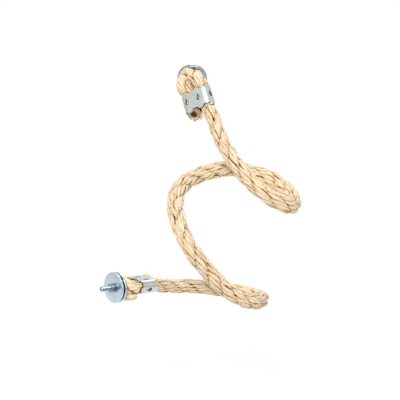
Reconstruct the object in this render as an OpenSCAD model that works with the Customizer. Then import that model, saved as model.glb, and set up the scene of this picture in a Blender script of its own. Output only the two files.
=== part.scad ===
// Bendable rope perch for a bird cage: a wire-cored rope bent into two falling turns, with a clamped
// eye and a screw fixing at each end. +Z is up and +Y points into the cage wall that it hangs on.
// The origin is on the top bolt's axis, on the inner wide washer's face that bears on the cage wires.

/* [Rope] */
// Diameter of the laid sisal rope at its clamped ends
rope_d = 13.5; // [12:0.5:15]
// Diameter of the rope where it lies loose between its ends
loose_d = 15.5; // [15:0.25:17]
// Diameter of the steel wire in the rope's core
core_d = 2.5; // [2:0.1:3]
// Drop from the top bolt to the lowest turn and a little more, which every place on the route follows
coil_drop = 200; // [180:5:230]
// Gap between the two runs of a folded end
fold_gap = 3; // [2:0.25:4]
// Length of the cut tail that stands out of a clamp
tail_l = 7.5; // [5:0.5:9]

/* [Clamps] */
// Length of a clamp along the rope
clamp_l = 21; // [18:0.5:24]
// Thickness of the clamp's sheet
clamp_t = 1; // [0.8:0.1:1.4]
// How much a clamp squeezes the rope from each side
pinch = 0.85; // [0.4:0.05:1.2]
// Length of a fold's crown, which sets how far a clamp is from its wide washer
crown_l = 21.5; // [20:0.5:26]
// Depth of the scallops along the clamp's edges
scallop_h = 2.5; // [1:0.25:3]
// Width of a punched tooth hole
tooth_w = 4.2; // [3:0.2:5]
// Distance of the punched holes from the clamp's edge on the side of the crown
tooth_way = 8.8; // [8.2:0.2:11]

/* [Screw fixings] */
// Thread diameter of the bolts
bolt_d = 5; // [4.5:0.25:5.5]
// Pitch of the bolts' thread
thread_pitch = 0.8; // [0.7:0.05:1]
// Length of a bolt under its head
bolt_l = 27; // [26:1:36]
// Width across the flats of the bolt heads and the nuts
hex_af = 8; // [7.5:0.25:9]
// Height of a bolt head
head_h = 3.5; // [3:0.25:4.25]
// Height of a nut
nut_h = 4.5; // [4:0.25:5.5]
// Diameter of the wide washers
washer_d = 30; // [26:1:34]
// Thickness of the wide washers
washer_t = 1.5; // [1:0.1:2]
// Gap between the wide washers, for the cage wires
wire_gap = 2.1; // [1.5:0.1:4]
// Diameter of the small washer under a bolt head
head_washer_d = 12; // [11:0.25:12]
// Thickness of the small washer under a bolt head
head_washer_t = 1.6; // [1.2:0.1:2]
// Depth of a bolt head's bearing face below the wide washers
head_depth = 7; // [6.5:0.1:7.5]

/* [Ends] */
// Direction in which the top fold leaves, seen from above, from straight right towards the back
top_turn = -70; // [-90:1:-50]
// Fall of the top fold below level
top_fall = 40; // [25:1:50]
// Roll of the top fold about itself
top_roll = 222; // [180:1:240]
// Direction in which the bottom fold leaves, seen from above, from straight right towards the back
bottom_turn = 38; // [20:1:60]
// Fall of the bottom fold below level
bottom_fall = 16; // [0:1:30]
// Roll of the bottom fold about itself
bottom_roll = -16; // [-40:1:30]

/* [Hidden] */
$fn = 48;

// Places along the rope between the two clamps, from top to bottom, as shares of the drop
route_shares = [
    [0.105, -0.28, -0.085], [0.14, -0.365, -0.145], [0.18, -0.435, -0.19], [0.225, -0.5, -0.23],
    [0.285, -0.565, -0.27], [0.365, -0.61, -0.32], [0.445, -0.59, -0.375], [0.48, -0.515, -0.415],
    [0.48, -0.415, -0.43], [0.445, -0.33, -0.43], [0.385, -0.26, -0.415], [0.295, -0.225, -0.405],
    [0.2, -0.205, -0.39], [0.11, -0.225, -0.39], [0.03, -0.275, -0.39], [-0.035, -0.34, -0.395],
    [-0.07, -0.42, -0.405], [-0.08, -0.51, -0.43], [-0.065, -0.59, -0.465], [-0.035, -0.66, -0.515],
    [0.015, -0.71, -0.575], [0.075, -0.735, -0.65], [0.145, -0.74, -0.735], [0.22, -0.72, -0.805],
    [0.29, -0.675, -0.865], [0.33, -0.605, -0.905], [0.335, -0.53, -0.94], [0.285, -0.48, -0.955],
    [0.205, -0.44, -0.96], [0.115, -0.425, -0.955], [0.025, -0.43, -0.94], [-0.055, -0.455, -0.92],
    [-0.12, -0.485, -0.9]];
// Middle of the bottom washer's seat, as shares of the drop
bottom_seat_share = [-0.3625, -0.6185, -0.82];
// Place of each clamp from the middle of its washer's seat, as shares of the crown's length; the bottom
// one lies straight in line with its bolt
top_clamp_share = [0.155, -1.155, 0.005];
bottom_clamp_share = 0.84;
// Steps along the route at which the rope bends, counted from its first place
bend_steps = [0, 5, 10, 16, 21, 27];
// Steps at which the rope starts to loosen, is loose, starts to tighten and is tight again
loose_steps = [2, 7, 26, 31];

// Sides of the rope, sides of its core, and rings from one place to the next
rope_sides = 16;
core_sides = 8;
ring_steps = 3;

rope_r = rope_d / 2;
loose_gain = (loose_d - rope_d) / 2;
fold_r = (rope_d + fold_gap) / 2;
// Radial clearance of the core wire, of the pieces buried in the rope, and of the nut on its thread
core_fit = 0.1;
bury_fit = 0.1;
thread_fit = 0.05;
washer_fit = 0.2;
// Rope pressed flat by a wide washer
seat_flat = 1;
// The crown is squashed against its washer: wider across the fold and thinner along the bolt
crown_wide_share = 1.75;
crown_thin_share = 0.75;
crown_r = fold_r * 1.08;
// Sag of the crown out of the fold's plane
crown_sag = 2.5;
// Ball at each bend of the rope, and the running gap round it
ball_r = loose_d * 0.61;
ball_gap = 0.3;
// The core wire stops this far short of the gap at a bend
core_back = 0.6;
// Overrun of a cut past the surface that it opens
over = 1;
// Slant of the tail's cut end, and its open hollow
tail_slant = 30;
hollow_d = rope_d * 0.35;
// Height of the chamfers on the bolts, nuts and washers
chamfer = 0.6;

function unit(v) = v / norm(v);

// Direction into a fold, and from there the direction to its tail
function into(turn, fall) = [cos(turn) * cos(fall), sin(turn) * cos(fall), -sin(fall)];
function across(turn, fall, roll) = let (level = [-sin(turn), cos(turn), 0])
    cos(roll) * level + sin(roll) * cross(level, -into(turn, fall));

// Each end has the middle of its washer's seat, the bolt's direction, the middle of its clamp's near
// edge, the direction into the fold and the direction to the tail
top_seat = [0, -washer_t, 0];
top_end = [top_seat, [0, 1, 0], top_seat + crown_l * top_clamp_share, into(top_turn, top_fall),
    across(top_turn, top_fall, top_roll)];
bottom_seat = coil_drop * bottom_seat_share;
bottom_end = [bottom_seat, -into(bottom_turn, bottom_fall),
    bottom_seat + crown_l * bottom_clamp_share * into(bottom_turn, bottom_fall),
    into(bottom_turn, bottom_fall),
    across(bottom_turn, bottom_fall, bottom_roll)];
function seat_of(end) = end[0];
function out_of(end) = end[1];
function clamp_of(end) = end[2];
function into_of(end) = end[3];
function tail_of(end) = end[4];
// Direction across the crown, and out of the fold's plane there
function wide_of(end) = unit(tail_of(end) - (tail_of(end) * out_of(end)) * out_of(end));
function flat_of(end) = cross(out_of(end), wide_of(end));

// A point on the centre line, u along the fold from the clamp, on the tail's side 1 or the run's -1
function run_point(end, u, side) = clamp_of(end) + u * into_of(end) + side * fold_r * tail_of(end);
function arc_middle(end) = seat_of(end)
    - (rope_r * crown_thin_share - seat_flat + crown_r) * out_of(end) + crown_sag * flat_of(end);
// Steps of the centre line in a crown's half turn and in each of its two legs
arc_steps = 10;
leg_steps = 3;
// A leg runs from the clamp at t 0 to the half turn at t 1
function leg(end, side, t) = let (p = run_point(end, 0, side),
        q = arc_middle(end) + side * crown_r * wide_of(end), h = norm(q - p) * 0.4)
    pow(1 - t, 3) * p + 3 * pow(1 - t, 2) * t * (p - h * into_of(end))
    + 3 * (1 - t) * t * t * (q - h * out_of(end)) + pow(t, 3) * q;
// Centre line of a fold from its tail's cut end to the clamp's near edge on the side of the run
function fold(end) = concat(
    [run_point(end, clamp_l + tail_l + over, 1), run_point(end, clamp_l, 1)],
    [for (i = [0:leg_steps - 1]) leg(end, 1, i / leg_steps)],
    [for (i = [0:arc_steps]) let (a = 90 - 180 * i / arc_steps) arc_middle(end)
        + crown_r * (cos(a) * out_of(end) + sin(a) * wide_of(end))],
    [for (i = [leg_steps - 1:-1:0]) leg(end, -1, i / leg_steps)]);
// How far each of those places is squashed, from 0 to 1
fold_squash = concat([0, 0], [for (i = [0:leg_steps - 1]) 0.5 * i / leg_steps],
    [for (i = [0:arc_steps]) 1 - 0.5 * abs(1 - 2 * i / arc_steps)],
    [for (i = [leg_steps - 1:-1:0]) 0.5 * i / leg_steps]);
function backward(list) = [for (i = [len(list) - 1:-1:0]) list[i]];
// A smooth curve through p1 and p2
function through(p0, p1, p2, p3, t) = p1 + (p2 - p0) * t / 2
    + (2 * p0 - 5 * p1 + 4 * p2 - p3) * t * t / 2 + (3 * p1 - p0 - 3 * p2 + p3) * t * t * t / 2;

// The core wire starts this far inside a clamp
core_u = over;
places = concat([run_point(top_end, core_u, -1), run_point(top_end, clamp_l, -1)],
    coil_drop * route_shares,
    [run_point(bottom_end, clamp_l, -1), run_point(bottom_end, core_u, -1)]);
body_line = [for (i = [1:len(places) - 3], j = [0:ring_steps - 1])
    through(places[i - 1], places[i], places[i + 1], places[i + 2], j / ring_steps)];
line = concat(fold(top_end), [places[0]], body_line,
    [places[len(places) - 2], places[len(places) - 1]], backward(fold(bottom_end)));
// Rings at which the core starts and ends, and those at the bends
core_first = len(fold(top_end));
core_last = core_first + len(body_line) + 2;
bend_rings = [for (b = bend_steps) core_first + 1 + (b + 1) * ring_steps];
last_ring = len(line) - 1;
squash = concat(fold_squash, [for (i = [core_first:core_last]) 0], backward(fold_squash));
flats = [for (i = [0:last_ring]) flat_of(i < core_first ? top_end : bottom_end)];
// How loose the rope is at each ring, from 0 to 1
function looseness(step) = max(0, min(1, (step - loose_steps[0]) / (loose_steps[1] - loose_steps[0]),
    (loose_steps[3] - step) / (loose_steps[3] - loose_steps[2])));
loose = [for (i = [0:last_ring]) looseness((i - core_first - 1) / ring_steps - 1)];

// The line's direction at a ring, halfway between those of the two steps that meet there
tangents = [for (i = [0:last_ring])
    let (before = i == 0 ? [0, 0, 0] : unit(line[i] - line[i - 1]),
        after = i == last_ring ? [0, 0, 0] : unit(line[i + 1] - line[i])) unit(before + after)];
// One side direction for each ring, carried along without twist
function carried(i, side) = i > last_ring ? []
    : let (v = unit(side - (side * tangents[i]) * tangents[i])) concat([v], carried(i + 1, v));
sides = carried(0, flat_of(top_end));

// A direction of the section after squashing
function squashed(v, i) = let (w = squash[i], flat = flats[i], thin = cross(flat, tangents[i]))
    v + w * (crown_wide_share - 1) * (v * flat) * flat - w * (1 - crown_thin_share) * (v * thin) * thin;
function ring(i, r, n) = let (a = sides[i], b = cross(tangents[i], a))
    [for (k = [0:n - 1])
        line[i] + r * squashed(cos(360 * k / n) * a + sin(360 * k / n) * b, i)];

// Free rope between any two places that lie further apart along it than a turn's width
far_rings = 4 * ring_steps;
body_gap = min([for (i = [core_first:core_last], j = [core_first:core_last])
    if (j > i + far_rings) norm(line[i] - line[j])]) - loose_d;
echo(least_gap_between_turns = body_gap);
echo(rope_length = sum([for (i = [1:last_ring]) norm(line[i] - line[i - 1])]));
function sum(list, i = 0) = i == len(list) ? 0 : list[i] + sum(list, i + 1);

// A tube of n flat sides along the route from ring first to ring last, thicker by gain where it is loose
module tube(first, last, r, n, gain = 0) {
    rings = [for (i = [first:last]) ring(i, r + gain * loose[i], n)];
    m = len(rings);
    polyhedron(
        points = [for (p = rings, q = p) q],
        faces = concat(
            [for (i = [0:m - 2], k = [0:n - 1]) [i * n + k, (i + 1) * n + k, i * n + (k + 1) % n]],
            [for (i = [0:m - 2], k = [0:n - 1])
                [i * n + (k + 1) % n, (i + 1) * n + k, (i + 1) * n + (k + 1) % n]],
            [[for (k = [0:n - 1]) k]],
            [[for (k = [n - 1:-1:0]) (m - 1) * n + k]]));
}

// Puts a piece at a point with its own x and z along the given directions
module put(at, x, z) {
    y = cross(z, x);
    multmatrix([[x.x, y.x, z.x, at.x], [x.y, y.y, z.y, at.y], [x.z, y.z, z.z, at.z], [0, 0, 0, 1]])
        children();
}

// Takes away what lies past a bend and outside the ball there
module round_end(bend, r) {
    i = bend_rings[bend];
    put(line[i], sides[i], tangents[i]) difference() {
        cylinder(d = 2 * loose_d, h = 2 * loose_d);
        sphere(r = r);
    }
}

// The stretch of a tube from one bend to the next, -1 and 6 standing for the two ends
module stretch(first_bend, last_bend, r, n, back, gain = 0) {
    first = first_bend < 0 ? (back > 0 ? core_first : 0) : bend_rings[first_bend];
    last = last_bend == len(bend_rings) ? (back > 0 ? core_last : last_ring)
        : bend_rings[last_bend] + 3;
    difference() {
        tube(first, last, r, n, gain);
        if (first_bend >= 0)
            translate(line[bend_rings[first_bend]]) sphere(r = ball_r + ball_gap + back);
        if (last_bend < len(bend_rings)) round_end(last_bend, ball_r - back);
    }
}

module core_bore(first_bend, last_bend) {
    first = first_bend < 0 ? core_first : bend_rings[first_bend] + 1;
    last = last_bend == len(bend_rings) ? core_last : bend_rings[last_bend] + 3;
    tube(first, last, (core_d / 2 + core_fit) / cos(180 / core_sides), core_sides);
}

module rope_run(k) {
    color("#e6cfa1") difference() {
        stretch(k - 1, k, rope_r, rope_sides, 0, loose_gain);
        core_bore(k - 1, k);
    }
}

module core_run(k) {
    color("#9a9c9e") stretch(k - 1, k, core_d / 2, core_sides, core_back);
}

// Hexagon with two of its flats facing +x and -x
module hex(af, h) {
    rotate(30) cylinder(d = af / cos(30), h = h, $fn = 6);
}

module at_fixing(end) {
    put(seat_of(end), wide_of(end), out_of(end)) children();
}

module at_clamp(end) {
    put(clamp_of(end), tail_of(end), into_of(end)) children();
}

// What a fixing takes out of a rope's crown: the washer's flat, the shank and the buried head
module fixing_room() {
    cylinder(r = washer_d, h = rope_d);
    translate([0, 0, -head_depth]) cylinder(r = bolt_d / 2 + bury_fit, h = head_depth + over);
    translate([0, 0, -head_depth]) cylinder(d = head_washer_d + 2 * bury_fit,
        h = head_washer_t + bury_fit);
    translate([0, 0, -head_depth - head_h - bury_fit]) hex(hex_af + 2 * bury_fit,
        head_h + 2 * bury_fit);
}

// What a clamp takes out of the rope: the squeezed skin, the teeth and the tail's slanted cut
module clamp_room() {
    translate([0, 0, -2 * bury_fit]) difference() {
        translate([-2 * rope_d, -rope_d, 0]) cube([4 * rope_d, 2 * rope_d, clamp_l + 4 * bury_fit]);
        translate([0, 0, -over]) linear_extrude(clamp_l + 4 * over)
            polygon(clamp_outline(clamp_in_r - bury_fit));
    }
    teeth(bury_fit);
    translate([fold_r, 0, clamp_l + tail_l - rope_r * tan(tail_slant)]) rotate([tail_slant, 0, 0]) {
        translate([-rope_d * 0.54, -rope_d, 0]) cube([rope_d * 1.2, 2 * rope_d, rope_d]);
        translate([0, 0, -tail_l / 2]) cylinder(d = hollow_d, h = tail_l);
    }
}

module rope_top_end() {
    color("#e6cfa1") difference() {
        stretch(-1, 0, rope_r, rope_sides, 0, loose_gain);
        core_bore(-1, 0);
        at_fixing(top_end) fixing_room();
        at_clamp(top_end) clamp_room();
    }
}

module rope_bottom_end() {
    color("#e6cfa1") difference() {
        stretch(len(bend_rings) - 1, len(bend_rings), rope_r, rope_sides, 0, loose_gain);
        core_bore(len(bend_rings) - 1, len(bend_rings));
        at_fixing(bottom_end) fixing_room();
        at_clamp(bottom_end) clamp_room();
    }
}

clamp_in_r = rope_r - pinch;
clamp_out_r = clamp_in_r + clamp_t;
// Half the distance between the middles of the clamp's round ends
hold_r = fold_r + pinch * 0.75;
// Outline of the clamp, with round ends of radius r
function clamp_outline(r) = let (n = rope_sides) concat(
    [for (i = [0:n]) [hold_r + r * cos(180 * i / n - 90), r * sin(180 * i / n - 90)]],
    [for (i = [0:n]) [-hold_r + r * cos(180 * i / n + 90), r * sin(180 * i / n + 90)]]);
// Length of the clamp's outline in its round ends and in all
end_l = PI * clamp_out_r;
outline_l = 4 * hold_r + 2 * end_l;
// A spot c along the outline: its place across the clamp and the direction that it faces
function spot(c) = c < -hold_r ? spot(c + outline_l) : c < hold_r ? [c, -90]
    : c < hold_r + end_l ? [hold_r, 180 * (c - hold_r) / end_l - 90]
    : c < 3 * hold_r + end_l ? [2 * hold_r + end_l - c, 90]
    : [-hold_r, 180 * (c - 3 * hold_r - end_l) / end_l + 90];
// Six lobes round the edge, each with a tooth, and the scallops between them
lobes = 6;
lobe_shift = -4;
lobe_at = [for (k = [0:lobes - 1]) spot(lobe_shift + k * outline_l / lobes)];
scallop_at = [for (k = [0:lobes - 1]) spot(lobe_shift + (k + 0.5) * outline_l / lobes)];
tooth_l = tooth_w * 1.7;
tooth_depth = tooth_w * 0.8;
scallop_r = outline_l / lobes * 0.45;

// At every listed spot, stands a child with its z pointing out of the sheet and x to the crown
module around(list, u) {
    for (p = list) translate([p[0], 0, u]) rotate([0, 90, p[1]]) children();
}

// The teeth, bent inwards from the round end of each hole
module teeth(grow) {
    around(lobe_at, tooth_way) translate([-tooth_w - clamp_t * 0.4 - grow, 0, clamp_in_r])
        rotate([90, 0, 90]) linear_extrude(clamp_t * 0.8 + 2 * grow)
        polygon([[-tooth_w / 3 - grow, clamp_t / 2], [tooth_w / 3 + grow, clamp_t / 2],
            [tooth_w / 3 + grow, 0], [grow, -tooth_depth - grow], [-grow, -tooth_depth - grow],
            [-tooth_w / 3 - grow, 0]]);
}

module clamp() {
    difference() {
        linear_extrude(clamp_l) polygon(clamp_outline(clamp_out_r));
        translate([0, 0, -over]) linear_extrude(clamp_l + 2 * over)
            polygon(clamp_outline(clamp_in_r));
        around(lobe_at, tooth_way) tooth_hole();
        for (u = [scallop_h - scallop_r, clamp_l + scallop_r - scallop_h])
            around(scallop_at, u) translate([0, 0, clamp_in_r - over])
                cylinder(r = scallop_r, h = clamp_t + 2 * over);
    }
    teeth(0);
}

// A teardrop with its point towards the crown
module tooth_hole() {
    translate([0, 0, clamp_in_r - over]) {
        translate([-tooth_w / 2, 0, 0]) cylinder(d = tooth_w, h = clamp_t + 2 * over);
        linear_extrude(clamp_t + 2 * over) polygon([[-tooth_w / 2, tooth_w / 2],
            [tooth_l - tooth_w, 0], [-tooth_w / 2, -tooth_w / 2]]);
    }
}

module top_clamp() {
    color("#b9c4c2") at_clamp(top_end) clamp();
}

module bottom_clamp() {
    color("#b9c4c2") at_clamp(bottom_end) clamp();
}

// The hardware lies along z, with the wide washers' seat at zero and the cage on the + side
module bolt() {
    rotate_extrude() polygon(concat(
        [[0, shank_z], [bolt_d / 2, shank_z], [bolt_d / 2, free_z], [root_r, free_z + root_w / 2],
            [root_r, free_z + first_root - root_w / 2]],
        [for (i = [0:threads - 1], p = [[bolt_d / 2, 0], [bolt_d / 2, thread_pitch - root_w],
                [root_r, thread_pitch - root_w / 2]])
            [p[0], free_z + first_root + i * thread_pitch + p[1]]],
        [[bolt_d / 2, free_z + first_root + threads * thread_pitch], [bolt_d / 2, tip_z - chamfer],
            [bolt_d / 2 - chamfer, tip_z], [0, tip_z]]));
    translate([0, 0, -head_depth - head_h]) hex(hex_af, head_h);
}

module washer(z, d, t) {
    translate([0, 0, z]) difference() {
        cylinder(d = d, h = t);
        translate([0, 0, -over]) cylinder(r = bolt_d / 2 + washer_fit, h = t + 2 * over);
    }
}

outer_washer_z = washer_t + wire_gap;
nut_z = outer_washer_z + washer_t;
// The thread past the nut is a row of rings, after a wider first root
free_z = nut_z + nut_h;
tip_z = bolt_l - head_depth;
shank_z = -head_depth - head_h / 2;
root_w = thread_pitch * 0.4;
root_r = bolt_d / 2 - root_w * cos(30);
first_root = thread_pitch * 0.75;
threads = floor((tip_z - chamfer - free_z - first_root) / thread_pitch);

module nut() {
    translate([0, 0, nut_z]) difference() {
        intersection() {
            hex(hex_af, nut_h);
            union() {
                cylinder(d1 = hex_af, d2 = hex_af + 2 * over, h = over);
                translate([0, 0, over]) cylinder(d = hex_af + 2 * over, h = nut_h - 2 * over);
                translate([0, 0, nut_h - over])
                    cylinder(d1 = hex_af + 2 * over, d2 = hex_af, h = over);
            }
        }
        translate([0, 0, -over]) cylinder(r = bolt_d / 2 + thread_fit, h = nut_h + 2 * over);
    }
}

module at_top() {
    at_fixing(top_end) children();
}

module at_bottom() {
    at_fixing(bottom_end) children();
}

module head_washer() {
    color("#a9b4bd") washer(-head_depth, head_washer_d, head_washer_t);
}

rope_top_end();
rope_run(1);  // rope_run_1
rope_run(2);  // rope_run_2
rope_run(3);  // rope_run_3
rope_run(4);  // rope_run_4
rope_run(5);  // rope_run_5
rope_bottom_end();
core_run(0);  // core_wire_top_end
core_run(1);  // core_wire_run_1
core_run(2);  // core_wire_run_2
core_run(3);  // core_wire_run_3
core_run(4);  // core_wire_run_4
core_run(5);  // core_wire_run_5
core_run(6);  // core_wire_bottom_end
top_clamp();
bottom_clamp();
at_top() color("#aab3ba") bolt();  // top_bolt
at_bottom() color("#aab3ba") bolt();  // bottom_bolt
at_top() head_washer();  // top_head_washer
at_bottom() head_washer();  // bottom_head_washer
at_top() color("#afbecb") washer(0, washer_d, washer_t);  // top_inner_washer
at_bottom() color("#afbecb") washer(0, washer_d, washer_t);  // bottom_inner_washer
at_top() color("#afbecb") washer(outer_washer_z, washer_d, washer_t);  // top_outer_washer
at_bottom() color("#afbecb") washer(outer_washer_z, washer_d, washer_t);  // bottom_outer_washer
at_top() color("#aab3ba") nut();  // top_nut
at_bottom() color("#aab3ba") nut();  // bottom_nut
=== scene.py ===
import math

import bmesh
import bpy
import numpy as np
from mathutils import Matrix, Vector
from mathutils.bvhtree import BVHTree


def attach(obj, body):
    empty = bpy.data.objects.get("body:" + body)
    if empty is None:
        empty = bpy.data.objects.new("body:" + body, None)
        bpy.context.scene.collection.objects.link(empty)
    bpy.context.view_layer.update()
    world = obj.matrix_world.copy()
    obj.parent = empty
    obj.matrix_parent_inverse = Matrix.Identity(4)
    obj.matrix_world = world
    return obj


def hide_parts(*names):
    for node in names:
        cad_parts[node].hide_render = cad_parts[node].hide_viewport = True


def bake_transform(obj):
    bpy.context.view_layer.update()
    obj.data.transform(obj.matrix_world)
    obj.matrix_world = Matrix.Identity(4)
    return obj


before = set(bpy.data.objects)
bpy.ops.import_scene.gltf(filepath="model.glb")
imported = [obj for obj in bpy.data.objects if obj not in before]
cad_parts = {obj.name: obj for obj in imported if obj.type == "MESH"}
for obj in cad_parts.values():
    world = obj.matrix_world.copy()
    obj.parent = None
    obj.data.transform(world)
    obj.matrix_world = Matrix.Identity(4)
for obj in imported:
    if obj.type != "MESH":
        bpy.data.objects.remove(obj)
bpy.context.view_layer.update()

scene = bpy.context.scene
scene.view_settings.view_transform = "Standard"


# The view. The perch is seen from in front of the cage wall, from 30 degrees above it, through a
# long lens.
camera_rise = math.radians(30)
camera_way = 1.4
camera_lens = 129.8
aim = Vector((0.0078, -0.0815, -0.0906))
camera = bpy.data.objects.new("camera", bpy.data.cameras.new("camera"))
camera.data.lens = camera_lens
camera.location = aim + camera_way * Vector((0, -math.cos(camera_rise), math.sin(camera_rise)))
camera.rotation_euler = (math.pi / 2 - camera_rise, 0, 0)
scene.collection.objects.link(camera)
scene.camera = camera


# The rope's route, in metres, as the part has it: down from the eye that the top bolt holds, round
# two falling turns, and into the eye of the bottom bolt. Each end is folded back on itself, so the
# line starts at one cut tail and stops at the other.
rope_d = 0.0135
loose_d = 0.0155
rope_r = rope_d / 2
fold_r = 0.00825
coil_drop = 0.2
clamp_l = 0.021
tail_l = 0.0075
tail_slant = math.radians(30)
crown_l = 0.0215
crown_r = fold_r * 1.08
crown_wide, crown_thin, crown_sag = 1.75, 0.75, 0.0025
seat_flat = 0.001
leg_pull_share = 0.4
washer_t = 0.0015
route_shares = [
    (0.105, -0.28, -0.085), (0.14, -0.365, -0.145), (0.18, -0.435, -0.19), (0.225, -0.5, -0.23),
    (0.285, -0.565, -0.27), (0.365, -0.61, -0.32), (0.445, -0.59, -0.375), (0.48, -0.515, -0.415),
    (0.48, -0.415, -0.43), (0.445, -0.33, -0.43), (0.385, -0.26, -0.415), (0.295, -0.225, -0.405),
    (0.2, -0.205, -0.39), (0.11, -0.225, -0.39), (0.03, -0.275, -0.39), (-0.035, -0.34, -0.395),
    (-0.07, -0.42, -0.405), (-0.08, -0.51, -0.43), (-0.065, -0.59, -0.465), (-0.035, -0.66, -0.515),
    (0.015, -0.71, -0.575), (0.075, -0.735, -0.65), (0.145, -0.74, -0.735), (0.22, -0.72, -0.805),
    (0.29, -0.675, -0.865), (0.33, -0.605, -0.905), (0.335, -0.53, -0.94), (0.285, -0.48, -0.955),
    (0.205, -0.44, -0.96), (0.115, -0.425, -0.955), (0.025, -0.43, -0.94), (-0.055, -0.455, -0.92),
    (-0.12, -0.485, -0.9)]
bend_steps = [0, 5, 10, 16, 21, 27]
loose_steps = [2, 7, 26, 31]
points_a_step = 12


def unit(v):
    return np.asarray(v, float) / np.linalg.norm(v)


class FoldedEnd:
    """One end of the rope: its washer's seat, its bolt's direction and its clamp's place."""

    def __init__(self, seat, turn, fall, roll, clamp, out=None):
        turn, fall, roll = map(math.radians, (turn, fall, roll))
        self.into = np.array((math.cos(turn) * math.cos(fall), math.sin(turn) * math.cos(fall),
                              -math.sin(fall)))
        level = np.array((-math.sin(turn), math.cos(turn), 0))
        self.tail = math.cos(roll) * level + math.sin(roll) * np.cross(level, -self.into)
        self.seat = np.asarray(seat, float)
        self.out = -self.into if out is None else np.asarray(out, float)
        self.clamp = self.seat + crown_l * (clamp * self.into if out is None else np.array(clamp))
        self.across = np.cross(self.into, self.tail)
        self.wide = unit(self.tail - self.tail.dot(self.out) * self.out)
        self.flat = np.cross(self.out, self.wide)
        self.arc = (self.seat - (rope_r * crown_thin - seat_flat + crown_r) * self.out
                    + crown_sag * self.flat)

    def run(self, u, side):
        return self.clamp + u * self.into + side * fold_r * self.tail

    def leg(self, side, t):
        p, q = self.run(0, side), self.arc + side * crown_r * self.wide
        h = np.linalg.norm(q - p) * leg_pull_share
        return ((1 - t) ** 3 * p + 3 * t * (1 - t) ** 2 * (p - h * self.into)
                + 3 * t * t * (1 - t) * (q - h * self.out) + t ** 3 * q)

    def fold(self):
        """Points and squeeze from the tail's cut end, over the crown and back to the clamp."""
        steps = np.linspace(0, 1, 25)
        points = [self.run(clamp_l + tail_l, 1), self.run(clamp_l / 2, 1)]
        squeeze = [0, 0]
        points += [self.leg(1, t) for t in steps[:-1]]
        squeeze += [t / 2 for t in steps[:-1]]
        for t in steps:
            a = math.pi / 2 - math.pi * t
            points.append(self.arc + crown_r * (math.cos(a) * self.out + math.sin(a) * self.wide))
            squeeze.append(1 - 0.5 * abs(1 - 2 * t))
        points += [self.leg(-1, t) for t in steps[-2::-1]]
        squeeze += [t / 2 for t in steps[-2::-1]]
        return points, squeeze


top_end = FoldedEnd((0, -washer_t, 0), turn=-70, fall=40, roll=222, clamp=(0.155, -1.155, 0.005),
                    out=(0, 1, 0))
bottom_end = FoldedEnd(coil_drop * np.array((-0.3625, -0.6185, -0.82)), turn=38, fall=16, roll=-16,
                       clamp=0.84)

places = [top_end.run(0.001, -1), top_end.run(clamp_l, -1)]
places += [coil_drop * np.array(share) for share in route_shares]
places += [bottom_end.run(clamp_l, -1), bottom_end.run(0.001, -1)]
coil, coil_loose = [], []
for first in range(1, len(places) - 2):
    p0, p1, p2, p3 = places[first - 1:first + 3]
    for t in np.linspace(0, 1, points_a_step, endpoint=False):
        coil.append(p1 + (p2 - p0) * t / 2 + (2 * p0 - 5 * p1 + 4 * p2 - p3) * t * t / 2
                    + (3 * p1 - p0 - 3 * p2 + p3) * t ** 3 / 2)
        coil_loose.append(np.interp(first - 2 + t, loose_steps, (0, 1, 1, 0)))
top_fold, top_squeeze = top_end.fold()
bottom_fold, bottom_squeeze = bottom_end.fold()
line = np.array(top_fold + coil + [places[-2]] + bottom_fold[::-1])
squeeze = np.array(top_squeeze + [0] * (len(coil) + 1) + bottom_squeeze[::-1])
loose = np.array([0] * len(top_fold) + coil_loose + [0] * (1 + len(bottom_fold)))

# The line is spaced evenly and its kinks are eased, and a pair of directions across it is carried
# along without twist. In the crowns they also hold the squash of the rope against its washer.
line_step = 0.0005
easing_rounds = 14
way = np.r_[0, np.cumsum(np.linalg.norm(np.diff(line, axis=0), axis=1))]
even = np.linspace(0, way[-1], round(way[-1] / line_step) + 1)
line = np.stack([np.interp(even, way, line[:, i]) for i in range(3)], 1)
squeeze = np.interp(even, way, squeeze)
gain = 1 + np.interp(even, way, loose) * (loose_d / rope_d - 1)
for _ in range(easing_rounds):
    line[1:-1] = line[:-2] / 4 + line[1:-1] / 2 + line[2:] / 4
    squeeze[1:-1] = squeeze[:-2] / 4 + squeeze[1:-1] / 2 + squeeze[2:] / 4
way = np.r_[0, np.cumsum(np.linalg.norm(np.diff(line, axis=0), axis=1))]
even = np.linspace(0, way[-1], len(line))
line = np.stack([np.interp(even, way, line[:, i]) for i in range(3)], 1)
rope_length = way[-1]
tangents = np.gradient(line, axis=0)
tangents /= np.linalg.norm(tangents, axis=1)[:, None]
side = top_end.flat
first_across, second_across = [], []
for i, along in enumerate(tangents):
    side = unit(side - side.dot(along) * along)
    flat = (top_end if i < len(line) / 2 else bottom_end).flat
    flat = unit(flat - flat.dot(along) * along)
    thin = np.cross(flat, along)
    for made, v in ((first_across, side), (second_across, np.cross(along, side))):
        made.append(gain[i] * v + squeeze[i] * ((crown_wide - 1) * v.dot(flat) * flat
                                                - (1 - crown_thin) * v.dot(thin) * thin))
route_mesh = bpy.data.meshes.new("rope_route")
route_mesh.from_pydata([tuple(p) for p in line], [(i, i + 1) for i in range(len(line) - 1)], [])
for label, values in (("first_across", first_across), ("second_across", second_across)):
    route_mesh.attributes.new(label, "FLOAT_VECTOR", "POINT").data.foreach_set(
        "vector", np.array(values, np.float32).ravel())
route_mesh.attributes.new("squash", "FLOAT", "POINT").data.foreach_set("value", squeeze.astype(np.float32))
route = bpy.data.objects.new("rope_route", route_mesh)
scene.collection.objects.link(route)


# Sisal: pale straw leaf fibre, twisted into yarns. It is lighter and glossy along the fibres on the
# crests, and painted shade makes it brown down between the yarns.
def plug(tree, value, socket):
    if isinstance(value, bpy.types.NodeSocket):
        tree.links.new(value, socket)
    else:
        socket.default_value = value


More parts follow.
